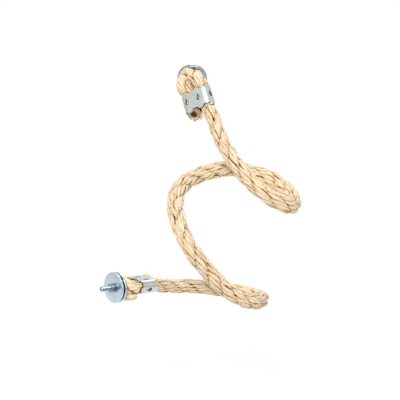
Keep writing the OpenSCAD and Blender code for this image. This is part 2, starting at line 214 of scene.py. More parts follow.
def node(tree, kind, inputs=(), **settings):
    made = tree.nodes.new(kind)
    for label, value in settings.items():
        setattr(made, label, value)
    for label, value in dict(inputs).items():
        plug(tree, value, made.inputs[label])
    return made


def step(tree, operation, *values):
    return node(tree, "ShaderNodeMath", enumerate(values), operation=operation).outputs[0]


def ramp(tree, factor, *stops):
    made = node(tree, "ShaderNodeValToRGB", {"Fac": factor})
    while len(made.color_ramp.elements) < len(stops):
        made.color_ramp.elements.new(0.5)
    for element, (place, colour) in zip(made.color_ramp.elements, stops):
        element.position, element.color = place, (*colour, 1)
    return made.outputs["Color"]


def mixed(tree, factor, a, b, blend="MIX"):
    made = node(tree, "ShaderNodeMix", data_type="RGBA", blend_type=blend)
    for value, place in ((factor, 0), (a, 6), (b, 7)):
        if not isinstance(value, bpy.types.NodeSocket) and place:
            value = (*value, 1)
        plug(tree, value, made.inputs[place])
    return made.outputs[2]


def new_material(label):
    material = bpy.data.materials.new(label)
    material.use_nodes = True
    return material, material.node_tree, material.node_tree.nodes["Principled BSDF"]


sisal, tree, face = new_material("sisal")
fibre = node(tree, "ShaderNodeAttribute", attribute_name="fibre").outputs["Vector"]
hollow = node(tree, "ShaderNodeAttribute", attribute_name="hollow").outputs["Fac"]
tone = node(tree, "ShaderNodeAttribute", attribute_name="tone").outputs["Fac"]
place = node(tree, "ShaderNodeTexCoord").outputs["Object"]
streaks = node(tree, "ShaderNodeTexNoise", {"Vector": fibre, "Scale": 3.2, "Detail": 5,
                                            "Roughness": 0.6}).outputs["Fac"]
drawn = node(tree, "ShaderNodeMapping", {"Vector": fibre, "Scale": (1, 1, 0.3)}).outputs[0]
hairs = node(tree, "ShaderNodeTexNoise", {"Vector": drawn, "Scale": 9, "Detail": 3,
                                          "Roughness": 0.7}).outputs["Fac"]
bundles = node(tree, "ShaderNodeTexNoise", {"Vector": fibre, "Scale": 1.15, "Detail": 2,
                                            "Roughness": 0.6}).outputs["Fac"]
patches = node(tree, "ShaderNodeTexNoise", {"Vector": place, "Scale": 45, "Detail": 3}).outputs["Fac"]
colour = ramp(tree, streaks, (0.33, (0.50, 0.33, 0.16)), (0.44, (0.75, 0.60, 0.39)),
              (0.55, (0.90, 0.79, 0.58)), (0.68, (0.97, 0.93, 0.79)))
colour = mixed(tree, 1.0, colour, ramp(
    tree, bundles, (0.32, (0.66, 0.55, 0.40)), (0.44, (0.90, 0.86, 0.78)), (0.56, (1, 1, 1))), "MULTIPLY")
colour = mixed(tree, 1.0, colour, ramp(
    tree, hairs, (0.36, (0.74, 0.61, 0.45)), (0.46, (0.97, 0.94, 0.90)), (0.55, (1, 1, 1))), "MULTIPLY")
colour = mixed(tree, step(tree, "MULTIPLY", tone, 0.45), colour, (0.78, 0.53, 0.34))
colour = mixed(tree, step(tree, "MULTIPLY", patches, 0.35), colour, (0.95, 0.86, 0.69))
# Painted shade: the deeper the hollow attribute says a spot lies, the browner its colour, down to near
# black.
shade = ramp(tree, hollow, (0.12, (1, 1, 1)), (0.38, (0.82, 0.68, 0.48)), (0.66, (0.43, 0.25, 0.12)),
             (1, (0.075, 0.025, 0.012)))
colour = mixed(tree, 1.0, colour, shade, "MULTIPLY")
tree.links.new(colour, face.inputs["Base Color"])
roughness = node(tree, "ShaderNodeMapRange", {"Value": streaks, "To Min": 0.9, "To Max": 0.55})
tree.links.new(roughness.outputs["Result"], face.inputs["Roughness"])
face.inputs["Specular IOR Level"].default_value = 0.35
face.inputs["Sheen Weight"].default_value = 0.12
coarse = node(tree, "ShaderNodeBump", {"Height": streaks, "Strength": 0.8, "Distance": 0.0008})
fine = node(tree, "ShaderNodeBump", {"Height": hairs, "Normal": coarse.outputs[0], "Strength": 0.8,
                                     "Distance": 0.0004})
tree.links.new(fine.outputs[0], face.inputs["Normal"])


# The rope: three strands of seven yarns, laid right-handed round a steel wire. Each yarn turns the
# other way round in its strand, so it shows as a short leaf that runs nearly along the rope.
laying = bpy.data.node_groups.new("rope laying", "GeometryNodeTree")


def group_input(group, label, kind="NodeSocketFloat", value=None):
    socket = group.interface.new_socket(label, in_out="INPUT", socket_type=kind)
    if value is not None:
        socket.default_value = value
    return socket


group_input(laying, "Route", "NodeSocketGeometry")
for label, value in (("Start", 0.0), ("End", 0.1), ("Rope Length", rope_length), ("Lay", 0.056),
                     ("Yarn Turn", 0.029), ("Strand Way", 0.0035), ("Strand Reach", 0.0036),
                     ("Strand Depth", 0.0021), ("Yarn Depth", 0.00145), ("Yarn Spread", 1.16),
                     ("Relief", 0.0006), ("Yarn Lift", 0.0013), ("Heart", 0.0043),
                     ("Yarn Groove", 0.42), ("Groove", 0.7), ("Pit", 1.25),
                     ("Ring Gap", 0.0009), ("Cut Place", -1.0), ("Cut Way", 1.0),
                     ("Cut Hollow", 0.0038), ("Cut Reach", 0.009), ("Cut Depth", 0.006),
                     ("Slant Reach", 0.018), ("Ragged", 0.006), ("Tip Length", 0.0028),
                     ("Heart End", 0.0015), ("Yarn Wander", 0.16), ("Press Narrow", 0.08),
                     ("Press Deepen", 0.3), ("Press Widen", 0.4), ("Wander Scale", 75.0),
                     ("Relief Scale", 34.0), ("Fibre Scale", 28.0), ("Fibre Twist", 130.0),
                     ("Tone Scale", 12.0)):
    group_input(laying, label, "NodeSocketFloat", value)
group_input(laying, "Cut Facing", "NodeSocketVector")
group_input(laying, "Strands", "NodeSocketInt", 3)
group_input(laying, "Yarns", "NodeSocketInt", 7)
group_input(laying, "Yarn Sides", "NodeSocketInt", 16)
group_input(laying, "Material", "NodeSocketMaterial")
laying.interface.new_socket("Rope", in_out="OUTPUT", socket_type="NodeSocketGeometry")
given = node(laying, "NodeGroupInput").outputs


def sum_of(tree, *values):
    total = values[0]
    for value in values[1:]:
        total = step(tree, "ADD", total, value)
    return total


def product_of(tree, *values):
    total = values[0]
    for value in values[1:]:
        total = step(tree, "MULTIPLY", total, value)
    return total


def vector_step(tree, operation, *values):
    made = node(tree, "ShaderNodeVectorMath", operation=operation)
    sockets = [s for s in made.inputs if s.name == "Vector"]
    if operation == "SCALE":
        plug(tree, values[0], made.inputs[0])
        plug(tree, values[1], made.inputs["Scale"])
    else:
        for socket, value in zip(sockets, values):
            plug(tree, value, socket)
    return made.outputs["Value" if operation == "DOT_PRODUCT" else "Vector"]


def combined(tree, x, y, z):
    return node(tree, "ShaderNodeCombineXYZ", {"X": x, "Y": y, "Z": z}).outputs[0]


def named(tree, label, kind="FLOAT"):
    return node(tree, "GeometryNodeInputNamedAttribute", {"Name": label},
                data_type=kind).outputs["Attribute"]


def stored(tree, geometry, label, value, kind="FLOAT", domain="POINT"):
    made = node(tree, "GeometryNodeStoreNamedAttribute", data_type=kind, domain=domain)
    plug(tree, geometry, made.inputs["Geometry"])
    plug(tree, label, made.inputs["Name"])
    plug(tree, value, made.inputs["Value"])
    return made.outputs["Geometry"]


span = step(laying, "SUBTRACT", given["End"], given["Start"])
rings = step(laying, "CEIL", step(laying, "DIVIDE", span, given["Ring Gap"]))
yarn_tube = node(laying, "GeometryNodeMeshCylinder", {
    "Vertices": given["Yarn Sides"], "Side Segments": rings, "Radius": 1.0, "Depth": 1.0},
    fill_type="NONE").outputs["Mesh"]
yarn_count = step(laying, "MULTIPLY", given["Strands"], given["Yarns"])
starts = node(laying, "GeometryNodeMeshLine", {
    "Count": step(laying, "ADD", yarn_count, 1), "Offset": (0, 0, 0)}).outputs["Mesh"]
yarns = node(laying, "GeometryNodeInstanceOnPoints", {"Points": starts, "Instance": yarn_tube})
yarns = stored(laying, yarns.outputs[0], "yarn", node(laying, "GeometryNodeInputIndex").outputs[0],
               domain="INSTANCE")
yarns = node(laying, "GeometryNodeRealizeInstances", {"Geometry": yarns}).outputs[0]

# Each point of a yarn's tube has a turn round the yarn and a length along the rope
spot = node(laying, "ShaderNodeSeparateXYZ", {
    "Vector": node(laying, "GeometryNodeInputPosition").outputs[0]}).outputs
yarn = named(laying, "yarn")
length = step(laying, "MULTIPLY_ADD", step(laying, "ADD", spot["Z"], 0.5), span, given["Start"])
strand = step(laying, "FLOOR", step(laying, "DIVIDE", step(laying, "ADD", yarn, 0.5), given["Yarns"]))
route_curve = node(laying, "GeometryNodeMeshToCurve", {"Mesh": given["Route"]}).outputs[0]


def along_route(where, label, kind):
    sample = node(laying, "GeometryNodeSampleCurve", mode="FACTOR", data_type=kind, use_all_curves=True)
    plug(laying, route_curve, sample.inputs["Curves"])
    plug(laying, step(laying, "DIVIDE", where, given["Rope Length"]), sample.inputs["Factor"])
    plug(laying, named(laying, label, kind), sample.inputs["Value"])
    return sample.outputs


squash = along_route(length, "squash", "FLOAT")["Value"]
in_heart = step(laying, "GREATER_THAN", yarn, step(laying, "SUBTRACT", yarn_count, 0.5))
noise_place = combined(laying, step(laying, "MULTIPLY", length, given["Wander Scale"]),
                       product_of(laying, yarn, 3.7), 0.5)
wander = node(laying, "ShaderNodeTexNoise", {"Vector": noise_place, "Scale": 1.0, "Detail": 1.0})
turn_wander = step(laying, "SUBTRACT", wander.outputs["Fac"], 0.5)
apart = node(laying, "ShaderNodeSeparateXYZ", {"Vector": wander.outputs["Color"]}).outputs
lift_wander = step(laying, "SUBTRACT", apart["Y"], 0.5)
theta = product_of(laying, math.tau, sum_of(laying, step(laying, "DIVIDE", length, given["Lay"]),
                                            step(laying, "DIVIDE", strand, given["Strands"])))
psi = product_of(laying, math.tau, sum_of(
    laying, step(laying, "DIVIDE", yarn, given["Yarns"]), step(laying, "MULTIPLY", strand, 0.37),
    step(laying, "MULTIPLY", turn_wander, given["Yarn Wander"]),
    step(laying, "MULTIPLY", step(laying, "DIVIDE", length, given["Yarn Turn"]), -1)))
sin_psi, cos_psi = step(laying, "SINE", psi), step(laying, "COSINE", psi)
strand_reach = product_of(laying, given["Strand Reach"], step(
    laying, "SUBTRACT", 1, product_of(laying, squash, given["Press Narrow"])))
reach = product_of(laying, strand_reach, sin_psi)
strand_depth = product_of(laying, given["Strand Depth"], step(
    laying, "ADD", 1, product_of(laying, squash, given["Press Deepen"])))
depth = product_of(laying, strand_depth, cos_psi)
normal_r = product_of(laying, strand_reach, cos_psi)
normal_t = product_of(laying, strand_depth, sin_psi)
steep = step(laying, "SQRT", sum_of(laying, product_of(laying, normal_r, normal_r),
                                    product_of(laying, normal_t, normal_t)))
normal_r, normal_t = step(laying, "DIVIDE", normal_r, steep), step(laying, "DIVIDE", normal_t, steep)
half_width = product_of(laying, step(laying, "DIVIDE", product_of(laying, steep, math.pi),
                                     given["Yarns"]), given["Yarn Spread"],
                        step(laying, "ADD", 1, product_of(laying, squash, given["Press Widen"])))
relief_place = combined(laying, sum_of(laying, spot["X"], step(laying, "MULTIPLY", yarn, 5.3)),
                        spot["Y"], step(laying, "MULTIPLY", length, given["Relief Scale"]))
relief = node(laying, "ShaderNodeTexNoise", {"Vector": relief_place, "Scale": 2.6, "Detail": 3.0})
relief = product_of(laying, step(laying, "SUBTRACT", relief.outputs["Fac"], 0.5), given["Relief"])

# A cut end opens into a ragged ring round a hollow, along a slant, and its yarns close to tips
cut_gap = step(laying, "ABSOLUTE", step(laying, "SUBTRACT", length, given["Cut Place"]))
near_cut = step(laying, "MAXIMUM", step(laying, "SUBTRACT", 1, step(
    laying, "DIVIDE", cut_gap, given["Cut Reach"])), 0)
opened = product_of(laying, near_cut, near_cut)
slanting = step(laying, "MAXIMUM", step(laying, "SUBTRACT", 1, step(
    laying, "DIVIDE", cut_gap, given["Slant Reach"])), 0)
slanting = product_of(laying, slanting, slanting)
tip = step(laying, "SUBTRACT", 1, step(laying, "MINIMUM", step(
    laying, "DIVIDE", cut_gap, given["Tip Length"]), 1))
tip = step(laying, "SQRT", step(laying, "MAXIMUM", step(laying, "SUBTRACT", 1, product_of(
    laying, tip, tip)), 0))

off_width = product_of(laying, spot["X"], sum_of(laying, half_width, relief), tip, step(
    laying, "SUBTRACT", 1, product_of(laying, opened, 0.35)))
off_depth = product_of(laying, spot["Y"], sum_of(laying, given["Yarn Depth"], relief), tip)
outward = sum_of(laying, given["Strand Way"], depth, product_of(laying, lift_wander, given["Yarn Lift"], 2),
                 product_of(laying, off_depth, normal_r),
                 product_of(laying, off_width, normal_t, -1))
sideward = sum_of(laying, reach, product_of(laying, off_depth, normal_t),
                  product_of(laying, off_width, normal_r))
sin_theta, cos_theta = step(laying, "SINE", theta), step(laying, "COSINE", theta)
x = step(laying, "SUBTRACT", product_of(laying, outward, cos_theta),
         product_of(laying, sideward, sin_theta))
y = step(laying, "ADD", product_of(laying, outward, sin_theta),
         product_of(laying, sideward, cos_theta))

# The strands lie on a heart of waste fibre round the wire, which stops short of a cut end
heart_r = product_of(laying, given["Heart"], step(laying, "SQRT", step(laying, "MINIMUM", step(
    laying, "MAXIMUM", step(laying, "DIVIDE", step(
        laying, "SUBTRACT", cut_gap, given["Cut Depth"]), given["Heart End"]), 0.0001), 1)))
x, y = (node(laying, "ShaderNodeMix", {"Factor": in_heart, "A": laid_out, "B": product_of(
    laying, heart_r, spot[axis])}).outputs["Result"] for axis, laid_out in (("X", x), ("Y", y)))
radius = step(laying, "SQRT", sum_of(laying, product_of(laying, x, x), product_of(laying, y, y), 1e-10))
widened = step(laying, "DIVIDE", sum_of(
    laying, radius, product_of(laying, opened, step(
        laying, "SUBTRACT", given["Cut Hollow"], step(laying, "MULTIPLY", radius, 0.2)))), radius)
x, y = product_of(laying, x, widened), product_of(laying, y, widened)
facing = node(laying, "ShaderNodeSeparateXYZ", {"Vector": given["Cut Facing"]}).outputs
slant_shift = step(laying, "SUBTRACT", rope_r, sum_of(
    laying, product_of(laying, x, facing["X"]), product_of(laying, y, facing["Y"])))
ragged = product_of(laying, apart["Z"], opened, given["Cut Way"], given["Ragged"])
laid_length = sum_of(laying, length, ragged, product_of(
    laying, slanting, slant_shift, math.tan(tail_slant), given["Cut Way"]))
laid = [along_route(laid_length, label, "FLOAT_VECTOR") for label in ("first_across", "second_across")]
position = vector_step(laying, "ADD", laid[0]["Position"], vector_step(
    laying, "ADD", vector_step(laying, "SCALE", laid[0]["Value"], x),
    vector_step(laying, "SCALE", laid[1]["Value"], y)))

# What the finish reads: the turn and length along the fibres, how deep a spot lies for its painted shade,
# and its yarn's tone
twist = sum_of(laying, step(laying, "ARCTAN2", spot["Y"], spot["X"]),
               step(laying, "MULTIPLY", length, given["Fibre Twist"]))
fibre_place = combined(laying, sum_of(laying, step(laying, "COSINE", twist), product_of(laying, yarn, 7.1)),
                       step(laying, "SINE", twist), step(laying, "MULTIPLY", length, given["Fibre Scale"]))
# Painted shade: a spot is darker the deeper it lies between the strands, on a yarn's flank, and in the pits
# where yarns dive under
deep = node(laying, "ShaderNodeMapRange", {"Value": radius, "From Min": rope_r * 0.96,
                                           "From Max": rope_r * 0.7}).outputs["Result"]
flank = node(laying, "ShaderNodeMapRange", {"Value": spot["Y"], "From Min": 0.85, "From Max": 0.1,
                                            "To Max": given["Yarn Groove"]}).outputs["Result"]
flank = product_of(laying, flank, step(laying, "SUBTRACT", 1, product_of(laying, squash, 0.6)),
                   step(laying, "ADD", wander.outputs["Fac"], 0.5))
yarn_tone = node(laying, "ShaderNodeTexWhiteNoise", {
    "W": sum_of(laying, yarn, step(laying, "FLOOR", product_of(laying, length, given["Tone Scale"])))},
    noise_dimensions="1D").outputs["Value"]
in_hollow = node(laying, "ShaderNodeMapRange", {
    "Value": step(laying, "MULTIPLY", radius, widened), "From Min": 0.0044,
    "From Max": 0.0028}).outputs["Result"]
pit = product_of(laying, deep, node(laying, "ShaderNodeMapRange", {
    "Value": spot["Y"], "From Min": 0.8, "From Max": 0.0}).outputs["Result"], given["Pit"])
groove = sum_of(laying, product_of(laying, given["Groove"], step(
    laying, "ADD", wander.outputs["Fac"], 0.5)), product_of(laying, squash, 0.9))
deep = step(laying, "MAXIMUM", product_of(laying, deep, groove), step(laying, "MAXIMUM", flank, pit))
# At a cut end the painted shade is that of the open hollow, together with the yarns' own random tone
cut_hollow_shade_and_tone = step(laying, "MAXIMUM", in_hollow, product_of(laying, yarn_tone, 0.35))
deep = node(laying, "ShaderNodeMix", {"Factor": step(laying, "MINIMUM", product_of(laying, opened, 3), 1),
                                      "A": deep, "B": cut_hollow_shade_and_tone}).outputs["Result"]
# The heart is painted wholly in shade
deep = step(laying, "MAXIMUM", deep, in_heart)
geometry = yarns
tone_there = sum_of(laying, yarn_tone, product_of(laying, opened, 0.8))
for label, value, kind in (("fibre", fibre_place, "FLOAT_VECTOR"), ("hollow", deep, "FLOAT"),
                           ("tone", tone_there, "FLOAT"),
                           ("along", laid[0]["Tangent"], "FLOAT_VECTOR"),
                           ("place", position, "FLOAT_VECTOR")):
    geometry = stored(laying, geometry, label, value, kind)
geometry = node(laying, "GeometryNodeSetPosition", {
    "Geometry": geometry, "Position": named(laying, "place", "FLOAT_VECTOR")}).outputs[0]
geometry = node(laying, "GeometryNodeRemoveAttribute", {"Geometry": geometry, "Name": "place"}).outputs[0]
geometry = node(laying, "GeometryNodeSetShadeSmooth", {"Geometry": geometry}).outputs[0]
geometry = node(laying, "GeometryNodeSetMaterial", {"Geometry": geometry,
                                                    "Material": given["Material"]}).outputs[0]
laying.links.new(geometry, node(laying, "NodeGroupOutput").inputs[0])


def grown(holder, group, values):
    """The mesh that a node group makes of an object, with its inputs set."""
    modifier = holder.modifiers.new(group.name, "NODES")
    modifier.node_group = group
    for socket in group.interface.items_tree:
        if socket.item_type == "SOCKET" and socket.in_out == "INPUT" and socket.name in values:
            modifier[socket.identifier] = values[socket.name]
    graph = bpy.context.evaluated_depsgraph_get()
    mesh = bpy.data.meshes.new_from_object(holder.evaluated_get(graph),
                                           preserve_all_data_layers=True, depsgraph=graph)
    holder.modifiers.remove(modifier)
    return mesh


# Where the clamps bind the rope and the washers press on it, its yarns give way. They ease out again
# a few millimetres past the clamp, and round the bolt's head the eye is all but closed.
eye_r = crown_r - rope_r * crown_thin
clamp_squeeze = 0.00085
hold_r = fold_r + clamp_squeeze * 0.75
clamp_in_r = rope_r - clamp_squeeze
bind_start, bind_full = -0.0035, -0.0004
bind_ease, bind_end = clamp_l + 0.0006, clamp_l + 0.004
under_sheet = 0.0003
press_gap = 0.00015
eye_closed_share, eye_reach_share = 0.8, 3.2
crown_end = 0.002
clamp_near, clamp_reach, crown_near, seat_near = 0.025, 0.012, 0.016, 0.04


def eased(x, low, high):
    t = np.clip((x - low) / (high - low), 0, 1)
    return t * t * (3 - 2 * t)


def behind_washer(points, end):
    """Points of the rope, kept off the inner washer's face."""
    q = points - end.seat
    over = np.where(np.linalg.norm(q, axis=1) < seat_near, np.maximum(q @ end.out + press_gap, 0), 0)
    return points - over[:, None] * end.out


def pressed(points, end):
    """Points of the rope, bound by the clamp, closed round the bolt's head and borne on by the washer."""
    q = points - end.clamp
    u, x, y = q @ end.into, q @ end.tail, q @ end.across
    held = eased(u, bind_start, bind_full) * (1 - eased(u, bind_ease, bind_end))
    core_x = np.clip(x, -hold_r, hold_r)
    far = np.hypot(x - core_x, y)
    limit = clamp_in_r - under_sheet
    near_end = (np.abs(x) < clamp_near) & (far < clamp_reach)
    share = np.where((far > limit) & near_end, held, 0)
    scale = 1 - share * (1 - limit / np.maximum(far, limit))
    x, y = core_x + (x - core_x) * scale, y * scale
    points = (end.clamp + u[:, None] * end.into + x[:, None] * end.tail + y[:, None] * end.across)

    # The crown's inner side is pressed over the bolt's head, so hardly any eye is left open
    q = points - end.arc
    level = q @ end.flat
    q = q - level[:, None] * end.flat
    reach = np.linalg.norm(q, axis=1)
    near = 1 - eased(reach, eye_r, eye_reach_share * eye_r)
    near = near * (np.abs(level) < crown_near) * (u < crown_end)
    inward = near * eye_r * eye_closed_share / np.maximum(reach, 0.0005)
    return behind_washer(points - inward[:, None] * q, end)


# The rope is made in six lengths, each from the middle of one run to the middle of the next, so that
# each holds one of the bends.
bends = [coil_drop * np.array(route_shares[i]) for i in bend_steps]
bend_ways = [even[np.argmin(np.linalg.norm(line - bend, axis=1))] for bend in bends]
cuts = [0.0] + [(a + b) / 2 for a, b in zip(bend_ways, bend_ways[1:])] + [rope_length]
rope_nodes = ["rope_top_end", "rope_run_1", "rope_run_2", "rope_run_3", "rope_run_4", "rope_run_5",
              "rope_bottom_end"]
crease_way = 0.0012
crease_from = 0.005
rope_pieces = []


def mesh_points(mesh):
    points = np.empty(len(mesh.vertices) * 3, np.float32)
    mesh.vertices.foreach_get("co", points)
    return points.reshape(-1, 3).astype(float)


def move_points(mesh, points):
    mesh.vertices.foreach_set("co", points.astype(np.float32).ravel())


def creased(mesh, points, end, sheet):
    """Painted shade darkens the rope close to the clamp's sheet, where the sheet's edge shades it."""
    tree = BVHTree.FromPolygons([sheet.matrix_world @ v.co for v in sheet.data.vertices],
                                [tuple(f.vertices) for f in sheet.data.polygons])
    hollow = np.empty(len(points), np.float32)
    mesh.attributes["hollow"].data.foreach_get("value", hollow)
    u = (points - end.clamp) @ end.into
    for i in np.nonzero((u > -crease_from) & (u < clamp_l + crease_from))[0]:
        way = tree.find_nearest(Vector(points[i]), crease_way)[3]
        if way is not None:
            hollow[i] = max(hollow[i], 1.3 - way / crease_way)
    mesh.attributes["hollow"].data.foreach_set("value", np.minimum(hollow, 1))


cut_ends = {0: (top_end, 0, 0.0, 1.0, "top_clamp"), 5: (bottom_end, -1, rope_length, -1.0, "bottom_clamp")}
for k in range(6):
    values = {"Start": cuts[k], "End": cuts[k + 1], "Material": sisal}
    if k in cut_ends:
        end, i, cut_place, cut_way, clamp_name = cut_ends[k]
        values["Cut Place"], values["Cut Way"] = cut_place, cut_way
        values["Cut Facing"] = (float(np.dot(first_across[i], end.across)),
                                float(np.dot(second_across[i], end.across)), 0.0)
    mesh = grown(route, laying, values)
    mesh.name = f"rope_bend_{k + 1}"
    if k in cut_ends:
        points = pressed(mesh_points(mesh), end)
        move_points(mesh, points)
        creased(mesh, points, end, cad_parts[clamp_name])
    piece = bpy.data.objects.new(mesh.name, mesh)
    scene.collection.objects.link(piece)
    rope_pieces.append(piece)
for k, piece in enumerate(rope_pieces):
    along = tangents[round(bend_ways[k] / rope_length * (len(line) - 1))]
    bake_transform(piece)
    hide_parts(*(rope_nodes[:2] if k == 0 else rope_nodes[k + 1:k + 2]))
bpy.data.objects.remove(route)


# Stray fibres: the ends of sisal hairs that stand out of the laid rope all along it. They lie mostly
# along the yarns, and there are more of them where the cut ends fray.
straying = bpy.data.node_groups.new("stray fibres", "GeometryNodeTree")
group_input(straying, "Rope", "NodeSocketGeometry")
for label, value in (("Density", 9000.0), ("Hair Length", 0.005), ("Hair Radius", 0.00007),
                     ("Hair Bend", 0.0012), ("Lift", 0.35), ("Fray", 150.0)):
    group_input(straying, label, "NodeSocketFloat", value)
group_input(straying, "Seed", "NodeSocketInt", 4)
group_input(straying, "Material", "NodeSocketMaterial")
straying.interface.new_socket("Fibres", in_out="OUTPUT", socket_type="NodeSocketGeometry")
given = node(straying, "NodeGroupInput").outputs
fray = step(straying, "MAXIMUM", step(straying, "SUBTRACT", named(straying, "tone"), 1), 0)
thick = product_of(straying, given["Density"], step(straying, "MULTIPLY_ADD", fray, given["Fray"], 1))
sound = step(straying, "LESS_THAN", step(straying, "SUBTRACT", named(straying, "hollow"), product_of(
    straying, fray, 2)), 0.25)
strewn = node(straying, "GeometryNodeDistributePointsOnFaces", {
    "Mesh": given["Rope"], "Density": thick, "Seed": given["Seed"], "Selection": sound})
lone = node(straying, "GeometryNodeCurvePrimitiveLine").outputs["Curve"]
lone = node(straying, "GeometryNodeResampleCurve", {"Curve": lone, "Count": 6}).outputs["Curve"]
share = node(straying, "GeometryNodeSplineParameter").outputs["Factor"]
hair_bow = product_of(straying, given["Hair Bend"], share, share)
lone = node(straying, "GeometryNodeSetPosition", {"Geometry": lone, "Position": combined(
    straying, hair_bow, 0, product_of(straying, given["Hair Length"], share))}).outputs[0]
hair_section = node(straying, "GeometryNodeCurvePrimitiveCircle", {"Resolution": 3,
                                                                   "Radius": given["Hair Radius"]})
lone = node(straying, "GeometryNodeCurveToMesh", {"Curve": lone, "Profile Curve": hair_section.outputs[0]})
aslant = node(straying, "FunctionNodeRandomValue", {"Seed": given["Seed"]}, data_type="FLOAT_VECTOR")
plug(straying, (-0.8, -0.8, -0.8), aslant.inputs["Min"])
plug(straying, (0.8, 0.8, 0.8), aslant.inputs["Max"])
hair_way = vector_step(straying, "ADD", vector_step(straying, "ADD", named(
    straying, "along", "FLOAT_VECTOR"), aslant.outputs["Value"]), vector_step(
    straying, "SCALE", strewn.outputs["Normal"], given["Lift"]))
hair_turn = node(straying, "FunctionNodeAlignRotationToVector", {"Vector": hair_way}, axis="Z")
hair_size = node(straying, "FunctionNodeRandomValue", {"Seed": 9}, data_type="FLOAT")
plug(straying, 0.4, hair_size.inputs[2])
plug(straying, 1.5, hair_size.inputs[3])
fibres = node(straying, "GeometryNodeInstanceOnPoints", {
    "Points": strewn.outputs["Points"], "Instance": lone.outputs[0],
    "Rotation": hair_turn.outputs[0], "Scale": hair_size.outputs[1]}).outputs[0]
fibres = node(straying, "GeometryNodeRealizeInstances", {"Geometry": fibres}).outputs[0]
fibres = node(straying, "GeometryNodeSetShadeSmooth", {"Geometry": fibres}).outputs[0]
fibres = node(straying, "GeometryNodeSetMaterial", {"Geometry": fibres,
                                                    "Material": given["Material"]}).outputs[0]
straying.links.new(fibres, node(straying, "NodeGroupOutput").inputs[0])

for k, piece in enumerate(rope_pieces):
    mesh = grown(piece, straying, {"Seed": k + 1, "Material": sisal})
    mesh.name = f"stray_fibres_{k + 1}"
    if k in cut_ends:
        move_points(mesh, behind_washer(mesh_points(mesh), cut_ends[k][0]))
    hairs_piece = bpy.data.objects.new(mesh.name, mesh)
    scene.collection.objects.link(hairs_piece)
    along = tangents[round(bend_ways[k] / rope_length * (len(line) - 1))]
    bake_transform(hairs_piece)


# Zinc plate on the steel fixings: a cool, slightly cloudy grey with fine rubbing marks. The same skin
# is on each plated finish, with its own tints and shine, and on the bare core wire.
plated = bpy.data.node_groups.new("zinc skin", "ShaderNodeTree")
for label, kind, value in (("Tint", "NodeSocketColor", (0.5, 0.5, 0.5, 1)),
                           ("Dull Tint", "NodeSocketColor", (0.4, 0.4, 0.4, 1)),
                           ("Roughness", "NodeSocketFloat", 0.3), ("Cloud Scale", "NodeSocketFloat", 180.0),
                           ("Grain Scale", "NodeSocketFloat", 2600.0), ("Rub", "NodeSocketFloat", 0.12),
                           ("Grain Depth", "NodeSocketFloat", 0.00004)):
    group_input(plated, label, kind, value)
for label, kind in (("Colour", "NodeSocketColor"), ("Roughness", "NodeSocketFloat"),
                    ("Normal", "NodeSocketVector")):
    plated.interface.new_socket(label, in_out="OUTPUT", socket_type=kind)
given = node(plated, "NodeGroupInput").outputs
skin_place = node(plated, "ShaderNodeTexCoord").outputs["Object"]
cloud = node(plated, "ShaderNodeTexNoise", {"Vector": skin_place, "Scale": given["Cloud Scale"],
                                            "Detail": 4}).outputs["Fac"]
grain = node(plated, "ShaderNodeTexNoise", {"Vector": skin_place, "Scale": given["Grain Scale"],
                                            "Detail": 3}).outputs["Fac"]
rubbed = node(plated, "ShaderNodeMapping", {"Vector": skin_place, "Scale": (2500, 260, 900)}).outputs[0]
rubs = node(plated, "ShaderNodeTexNoise", {"Vector": rubbed, "Scale": 1.0, "Detail": 4}).outputs["Fac"]
clouded = node(plated, "ShaderNodeMapRange", {"Value": cloud, "From Min": 0.35, "From Max": 0.65})
skin = mixed(plated, clouded.outputs["Result"], given["Dull Tint"], given["Tint"])
skin = mixed(plated, step(plated, "MULTIPLY", rubs, given["Rub"]), skin, (0.9, 0.92, 0.94))
shine = node(plated, "ShaderNodeMapRange", {
    "Value": rubs, "To Min": step(plated, "MULTIPLY", given["Roughness"], 0.8),
    "To Max": step(plated, "MULTIPLY", given["Roughness"], 1.3)}).outputs["Result"]
grained = node(plated, "ShaderNodeBump", {"Height": grain, "Strength": 0.1,
                                          "Distance": given["Grain Depth"]}).outputs[0]
put_out = node(plated, "NodeGroupOutput").inputs
for label, value in (("Colour", skin), ("Roughness", shine), ("Normal", grained)):
    plug(plated, value, put_out[label])


def zinc(label, tint, dull, roughness):
    material, tree, face = new_material(label)
    skin = tree.nodes.new("ShaderNodeGroup")
    skin.node_tree = plated
    for socket, value in (("Tint", (*tint, 1)), ("Dull Tint", (*dull, 1)), ("Roughness", roughness)):
        skin.inputs[socket].default_value = value
    face.inputs["Metallic"].default_value = 1.0
    for socket, value in (("Base Color", "Colour"), ("Roughness", "Roughness"), ("Normal", "Normal")):
        tree.links.new(skin.outputs[value], face.inputs[socket])
    return material


clamp_zinc = zinc("clamp_zinc", (0.50, 0.57, 0.54), (0.44, 0.51, 0.48), 0.27)
washer_zinc = zinc("washer_zinc", (0.51, 0.59, 0.66), (0.46, 0.54, 0.61), 0.25)
bolt_zinc = zinc("bolt_zinc", (0.29, 0.38, 0.41), (0.22, 0.31, 0.34), 0.42)
wire_steel = zinc("wire_steel", (0.40, 0.41, 0.42), (0.30, 0.30, 0.31), 0.45)
for label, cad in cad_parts.items():
    if "core" in label:
        cad.data.materials.clear()
        cad.data.materials.append(wire_steel)


# The clamps: zinc-plated sheet with scalloped edges, wrapped round both runs of a folded end and
# crimped. Teeth are punched into the rope through drop-shaped holes. The cut edges are slightly round.
def smooth_shaded(mesh, material, angle=math.radians(35)):
    mesh.polygons.foreach_set("use_smooth", [True] * len(mesh.polygons))
    mesh.set_sharp_from_angle(angle=angle)
    mesh.materials.clear()
    mesh.materials.append(material)


